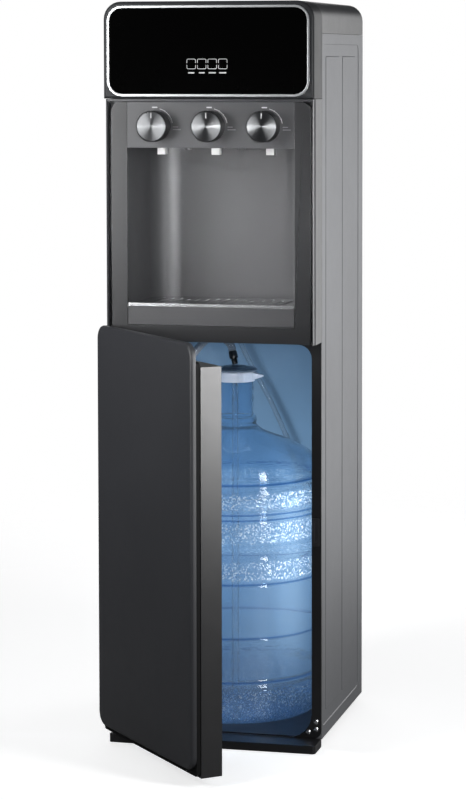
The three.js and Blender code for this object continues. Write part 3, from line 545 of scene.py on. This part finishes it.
def add_bottle():
    """The bottle's wall with its rings, grooves and pebbled bands, open at the neck."""
    R = BOTTLE_R
    body = [
        (60, 19), (98, 15), (108, 14.4), (117, 17), (124, 22.5), (128.5, 30), (R, 40), (R, 71),
        (R - 1.2, 74), (R - 3.0, 77), (R - 1.2, 80), (R - 0.4, 82), (R - 2.4, 85), (R, 89),
        (R, 142.5), (R - 1.8, 146), (R, 149.5), (R, 221), (R - 2.4, 226), (R, 231), (R, 262),
        (R - 1.6, 267), (R - 1.6, 281), (R, 286), (R, 318), (R - 2.6, 321.5), (R + 0.4, 325.5),
        (R - 2.4, 329.5), (R + 0.4, 333), (R - 1.4, 336), (R - 0.2, 340), (R, 364),
        (R - 2.6, 369), (R - 2.8, 373), (R - 1.4, 378), (R - 2, 383), (126, 393), (117.5, 405),
        (103, 415.5), (84, 424), (62, 431.8), (46, 438), (37, 443.5), (32.6, 448.5),
    ]
    neck = [
        (32.6, 448.5), (31.6, 451), (32.8, 454), (32.8, 458.6), (31, 461.4), (28, 463.4),
        (27.3, 467), (27.3, 484), (28.4, 487), (27.3, 490), (27.3, 500), (28.0, 502.5),
        (27.3, 505), (27.3, 513),
    ]
    step = 1.15
    segments = 420
    pebble_size = 3.4
    outer = [(0, 21)] + resampled([(0.5, 21), (30, 20.4), (60, 19)], 6)[1:]
    outer += resampled(rounded_line(body), step)[1:]
    outer += resampled(rounded_line(neck), 1.4)[1:] + [(27.3, 514.2), (27.3, 525.6), (25.2, 525.6)]
    inner = [(25.2, 462), (29.6, 452), (33, 446), (43, 437.6), (62, 429), (84, 421), (102, 412.8),
             (115.2, 403.4), (123.6, 391.6), (R - 4.8, 380), (INSIDE_R, 366), (INSIDE_R, 40),
             (123, 28), (116, 20.6), (107, 17.6), (60, 21.6), (0, 23.6)]
    inner = resampled([(25.2, 525.6)] + inner, 14)[1:-1] + [(0, 23.6)]
    field = pebbles(len(outer), segments, step, 2 * math.pi * R / segments, pebble_size, 7)
    heights = np.array([z for _, z in outer])
    radii = np.array([r for r, _ in outer])
    strength = np.zeros(len(outer))
    for low, high, amount in PEBBLED:
        edge = np.clip(np.minimum(heights - low, high - heights) / 2.5, 0, 1)
        strength = np.maximum(strength, amount * edge * (radii > 60))
    relief = field * strength[:, None]
    profile = outer + inner
    relief = np.vstack([relief, np.zeros((len(inner), segments))])
    vertices, faces = lathe(profile, BOTTLE_AT, segments, relief)
    piece = new_piece("bottle_shell", vertices, faces, bottle_blue, "cabinet")
    piece.visible_shadow = False
    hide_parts("water_bottle")


def add_water():
    """The water up to its level, where it climbs the wall a little."""
    R = INSIDE_R
    profile = [(0, 23.4), (60, 21.4), (107, 17.4), (116, 20.4), (123.1, 27.9), (R + 0.1, 40),
               (R + 0.1, WATER_LEVEL + 1.6), (R - 1.4, WATER_LEVEL + 0.5), (R - 4, WATER_LEVEL),
               (0, WATER_LEVEL)]
    profile = [profile[0]] + resampled(profile[:-1], 12)[1:] + [profile[-1]]
    vertices, faces = lathe(profile, BOTTLE_AT, 160)
    piece = new_piece("water_body", vertices, faces, water_clear, "cabinet")
    piece.visible_shadow = False
    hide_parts("bottle_water")


def smooth_path(points, count):
    """Centripetal Catmull-Rom line through the points, in mm, resampled evenly; returns metres."""
    p = [Vector(q) for q in points]
    p = [p[0] * 2 - p[1]] + p + [p[-1] * 2 - p[-2]]
    fine = []
    steps = 24
    for a, b, c, d in zip(p, p[1:], p[2:], p[3:]):
        t0 = 0.0
        t1 = t0 + math.sqrt((b - a).length)
        t2 = t1 + math.sqrt((c - b).length)
        t3 = t2 + math.sqrt((d - c).length)
        for k in range(steps):
            t = t1 + (t2 - t1) * k / steps
            a1 = a * ((t1 - t) / (t1 - t0)) + b * ((t - t0) / (t1 - t0))
            a2 = b * ((t2 - t) / (t2 - t1)) + c * ((t - t1) / (t2 - t1))
            a3 = c * ((t3 - t) / (t3 - t2)) + d * ((t - t2) / (t3 - t2))
            b1 = a1 * ((t2 - t) / (t2 - t0)) + a2 * ((t - t0) / (t2 - t0))
            b2 = a2 * ((t3 - t) / (t3 - t1)) + a3 * ((t - t1) / (t3 - t1))
            fine.append(b1 * ((t2 - t) / (t2 - t1)) + b2 * ((t - t1) / (t2 - t1)))
    fine.append(p[-2])
    run = [0.0]
    for a, b in zip(fine, fine[1:]):
        run.append(run[-1] + (b - a).length)
    result = []
    j = 0
    for k in range(count):
        want = run[-1] * k / (count - 1)
        while j < len(run) - 2 and run[j + 1] < want:
            j += 1
        share = (want - run[j]) / max(1e-9, run[j + 1] - run[j])
        result.append((fine[j] + (fine[j + 1] - fine[j]) * share) * MM)
    return result, run[-1] * MM


def hollow_tube(path, radius, bore, sides):
    """A tube with a bore along a path: an outer and an inner wall joined by rings at both ends."""
    vertices, faces = [], []
    side = None
    count = len(path)
    for i, p in enumerate(path):
        along = (path[min(i + 1, count - 1)] - path[max(i - 1, 0)]).normalized()
        if side is None:
            side = along.orthogonal().normalized()
        side = (side - along * side.dot(along)).normalized()
        other = along.cross(side)
        for r in (radius, bore):
            for j in range(sides):
                angle = 2 * math.pi * j / sides
                vertices.append(p + (side * math.cos(angle) + other * math.sin(angle)) * r)
    for i in range(count - 1):
        base, after = i * 2 * sides, (i + 1) * 2 * sides
        for j in range(sides):
            k = (j + 1) % sides
            faces.append((base + j, base + k, after + k, after + j))
            faces.append((base + sides + k, base + sides + j, after + sides + j, after + sides + k))
    last = (count - 1) * 2 * sides
    for j in range(sides):
        k = (j + 1) % sides
        faces.append((j, sides + j, sides + k, k))
        faces.append((last + j, last + k, last + sides + k, last + sides + j))
    return vertices, faces


# The hose fitting on the bottle leans to the left; its base height and its length are in mm.
LEAN = math.radians(-12)
FITTING_BASE = 539.6
FITTING_LENGTH = 21.0


def on_fitting(distance):
    """A point on the leaning fitting's axis, in mm from its base."""
    x, y = BOTTLE_AT
    return (x + distance * math.sin(LEAN), y, FITTING_BASE + distance * math.cos(LEAN))


# Middle lines of the two hoses, in mm.
SUCTION_ROUTE = [
    on_fitting(FITTING_LENGTH + 0.4), on_fitting(FITTING_LENGTH + 3.4), (-18, 28, 568.6),
    (-25, 27, 575.6), (-38, 24, 580.3), (-50.5, 20, 578), (-61, 15.5, 569), (-75, 10, 550.5),
    (-89, 8, 530), (-106, 10, 504), (-122, 20, 480), (-132, 38, 466), (-136, 60, 462),
    (-135, 84, 469), (-130, 105, 487), (-123, 120, 514), (-117.5, 127, 545), (-116, 128, 572),
    (-116, 128, 590), (-116, 128, 611.7),
]
DRAIN_ROUTE = [
    (-80, 112, 749.7), (-80, 112, 740), (-78, 114.5, 715), (-60, 133, 666), (-43.5, 145, 632),
    (-38, 148, 606), (-38, 148, 588), (-32, 149, 560), (-15, 150, 524), (14, 150, 472),
    (52, 149, 388), (84, 143, 290), (103, 130, 205), (111, 115, 150), (112, 108.5, 115),
    (112, 108, 92), (112, 110.4, 79.8), (112, 117.4, 69.4), (112, 127.8, 62.4), (112, 140, 60),
    (112, 143.7, 60),
]


def add_hose(name, node, route, radius, bore, material):
    """A hose along its route, put in place of a CAD node."""
    path, length = smooth_path(route, 150)
    vertices, faces = hollow_tube(path, radius * MM, bore * MM, 20)
    piece = new_piece(name, vertices, faces, material, "cabinet")
    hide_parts(node)


def add_dip_tube():
    """The straight pipe that reaches down the middle of the bottle."""
    radius, bore = 4.9, 3.4
    path = [Vector((*BOTTLE_AT, z)) * MM for z in (26, 60, 150, 250, 350, 450, 530.5)]
    vertices, faces = hollow_tube(path, radius * MM, bore * MM, 24)
    piece = new_piece("dip_pipe", vertices, faces, dip_clear, "cabinet")
    piece.visible_shadow = False
    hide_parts("dip_tube")


# ------------------------------------------------------------------ printed marks
def plate(vertices, faces, points, front, back):
    """Adds a flat plate with the given outline in the front view, from y front to y back, in mm."""
    start, count = len(vertices), len(points)
    vertices += [(x * MM, front * MM, z * MM) for x, z in points]
    vertices += [(x * MM, back * MM, z * MM) for x, z in points]
    faces.append(tuple(start + i for i in range(count)))
    faces.append(tuple(start + count + i for i in reversed(range(count))))
    for i in range(count):
        j = (i + 1) % count
        faces.append((start + j, start + i, start + count + i, start + count + j))


def bar_points(x0, x1, z0, z1, radius):
    """Outline of a bar with rounded corners in the front view."""
    points = []
    for cx, cz, start in ((x1 - radius, z1 - radius, 0), (x0 + radius, z1 - radius, 90),
                          (x0 + radius, z0 + radius, 180), (x1 - radius, z0 + radius, 270)):
        for k in range(4):
            angle = math.radians(start + 30 * k)
            points.append((cx + radius * math.cos(angle), cz + radius * math.sin(angle)))
    return points[::-1]


def stroke_points(line, width):
    """Outline of a stroke of even width along a line in the front view."""
    left, right = [], []
    for i, (x, z) in enumerate(line):
        ax, az = line[max(i - 1, 0)]
        bx, bz = line[min(i + 1, len(line) - 1)]
        length = math.hypot(bx - ax, bz - az)
        nx, nz = -(bz - az) / length, (bx - ax) / length
        left.append((x + nx * width / 2, z + nz * width / 2))
        right.append((x - nx * width / 2, z - nz * width / 2))
    return left + right[::-1]


def face_outwards(piece):
    work = bmesh.new()
    work.from_mesh(piece.data)
    bmesh.ops.recalc_face_normals(work, faces=work.faces)
    work.to_mesh(piece.data)
    work.free()


def flat_piece(name, vertices, faces, material, body):
    """A group of flat plates with crisp edges, standing for a print."""
    face_outwards(new_piece(name, vertices, faces, material, body, smooth=False))


def add_display_marks():
    """Four indicator windows drawn as bracket pairs, each with a plain bar under it."""
    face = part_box("display_panel")[0].y / MM
    vertices, faces = [], []
    front, back = face - 0.12, face + 0.1
    size, height, pitch = 13.5, 14.7, 15.45
    left, low = -30.6, 985.2
    corner, width, gap = 1.8, 0.8, 1.5
    bar_low, bar_high = 979.0, 980.9
    for i in range(4):
        x0 = left + i * pitch + width / 2
        x1 = x0 + size - width
        z0, z1 = low + width / 2, low + height - width / 2
        middle = (z0 + z1) / 2
        for flip in (1, -1):
            edge = z1 if flip > 0 else z0
            line = [(x0, middle + flip * gap)]
            for k in range(5):
                angle = math.radians(180 - 22.5 * k)
                line.append((x0 + corner + corner * math.cos(angle),
                             edge - flip * corner + flip * corner * math.sin(angle)))
            for k in range(5):
                angle = math.radians(90 - 22.5 * k)
                line.append((x1 - corner + corner * math.cos(angle),
                             edge - flip * corner + flip * corner * math.sin(angle)))
            line.append((x1, middle + flip * gap))
            plate(vertices, faces, stroke_points(line, width), front, back)
        centre = (x0 + x1) / 2
        half = (4.6, 4.2, 5.2, 5.2)[i]
        bar = bar_points(centre - half, centre + half, bar_low, bar_high, 0.5)
        plate(vertices, faces, bar, front, back)
    flat_piece("display_marks", vertices, faces, print_white, "cabinet")


def on_circle(x, radius, degrees):
    """A point around the knob at x, by clock angle from the top."""
    angle = math.radians(degrees)
    return (x + radius * math.sin(angle), KNOB_Z + radius * math.cos(angle))


def add_tap_legends():
    """A quarter arc around each knob with a plain bar at its start and two at its side."""
    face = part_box("control_panel")[0].y / MM
    front, back = face - 0.1, face + 0.1
    for tap, x in TAPS.items():
        vertices, faces = [], []
        arc = [on_circle(x, 25.4, a) for a in range(14, 82, 3)]
        plate(vertices, faces, stroke_points(arc, 0.8), front, back)
        for a in (32, 50, 66):
            tick = [on_circle(x, 24.6, a), on_circle(x, 26.6, a)]
            plate(vertices, faces, stroke_points(tick, 0.5), front, back)
        start_bar = bar_points(x - 5.2, x + 2.8, KNOB_Z + 26.0, KNOB_Z + 27.7, 0.5)
        plate(vertices, faces, start_bar, front, back)
        flat_piece(tap + "_legend", vertices, faces, print_white, "cabinet")
        vertices, faces = [], []
        for right, low in ((33.4, -1.9), (37.6, -5.7)):
            bar = bar_points(x + 25.6, x + right, KNOB_Z + low, KNOB_Z + low + 1.5, 0.5)
            plate(vertices, faces, bar, front, back)
        flat_piece(tap + "_caption_bars", vertices, faces, print_grey, "cabinet")


def spun_profile():
    """Half outline of a knob's face, as (radius, depth behind the CAD disc's front) in mm."""
    profile = [(0, 0.30)]
    radius = 0.6
    while radius < 20.2:
        profile += [(radius, 0.27), (radius + 0.35, 0.33)]
        radius += 0.7
    rim = [(20.4, 0.22), (20.8, 0.02), (21.15, 0.12), (21.3, 0.55), (21.3, 1.9), (0, 1.9)]
    return profile + rim


def add_knob_faces():
    """Spun-metal face with fine concentric grooves, a turned rim and a white pointer."""
    for tap, x in TAPS.items():
        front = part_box(tap + "_knob_disc")[0].y / MM
        profile = [(radius, front + depth) for radius, depth in spun_profile()]
        upright, faces = lathe(profile, (x, KNOB_Z), 96)
        vertices = [(across, along, up) for across, up, along in upright]
        piece = new_piece(tap + "_knob_face", vertices, faces, spun_metal, tap + "_tap")
        face_outwards(piece)
        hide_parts(tap + "_knob_disc")
        vertices, faces = [], []
        mark = bar_points(x - 0.8, x + 0.8, KNOB_Z + 11.8, KNOB_Z + 19.6, 0.4)
        plate(vertices, faces, mark, front + 0.14, front + 0.6)
        flat_piece(tap + "_pointer", vertices, faces, print_white, tap + "_tap")


add_bottle()
add_water()
add_dip_tube()
add_hose("suction_line", "suction_hose", SUCTION_ROUTE, 6.0, 4.0, hose_grey)
add_hose("drain_line", "drain_hose", DRAIN_ROUTE, 4.0, 2.6, tube_clear)
add_display_marks()
add_tap_legends()
add_knob_faces()

add_camera()
add_world()
add_floor()
add_softbox("left_front", (-0.72, -1.10, 1.02), (-0.16, -0.1, 0.86), 0.5, 0.9, 6.4, spread=100)
add_softbox("right_back", (1.10, 1.75, 0.56), (0.155, 0.0, 0.40), 0.9, 1.9, 15)
add_softbox("right_front", (1.05, -0.80, 0.72), (0.10, -0.30, 0.60), 0.3, 0.74, 5.0, spread=120)
add_gloss_panel("right_glint", (1.25, -0.72, 0.74), (0.15, -0.17, 0.66), 0.45, 1.1, 11)
add_softbox("alcove_fill", (0.42, -1.45, 0.84), (-0.06, 0.05, 0.77), 0.22, 0.22, 0.40, spread=17)
add_softbox("rear_fill", (-0.8, 2.3, 1.2), (0.0, 0.15, 0.55), 1.2, 1.2, 9)
add_softbox("overhead", (0.1, -0.3, 2.6), (0.05, 0, 0.5), 1.4, 1.4, 3.6)
add_bay_lamp("bay_right", (0.132, -0.080, 0.30), (-0.06, 0.16, 0.27), 0.02, 0.40, 0.62)
add_bay_lamp("bay_left", (-0.128, -0.060, 0.27), (0.09, 0.16, 0.24), 0.02, 0.38, 0.95)
scene.view_settings.view_transform = "Standard"
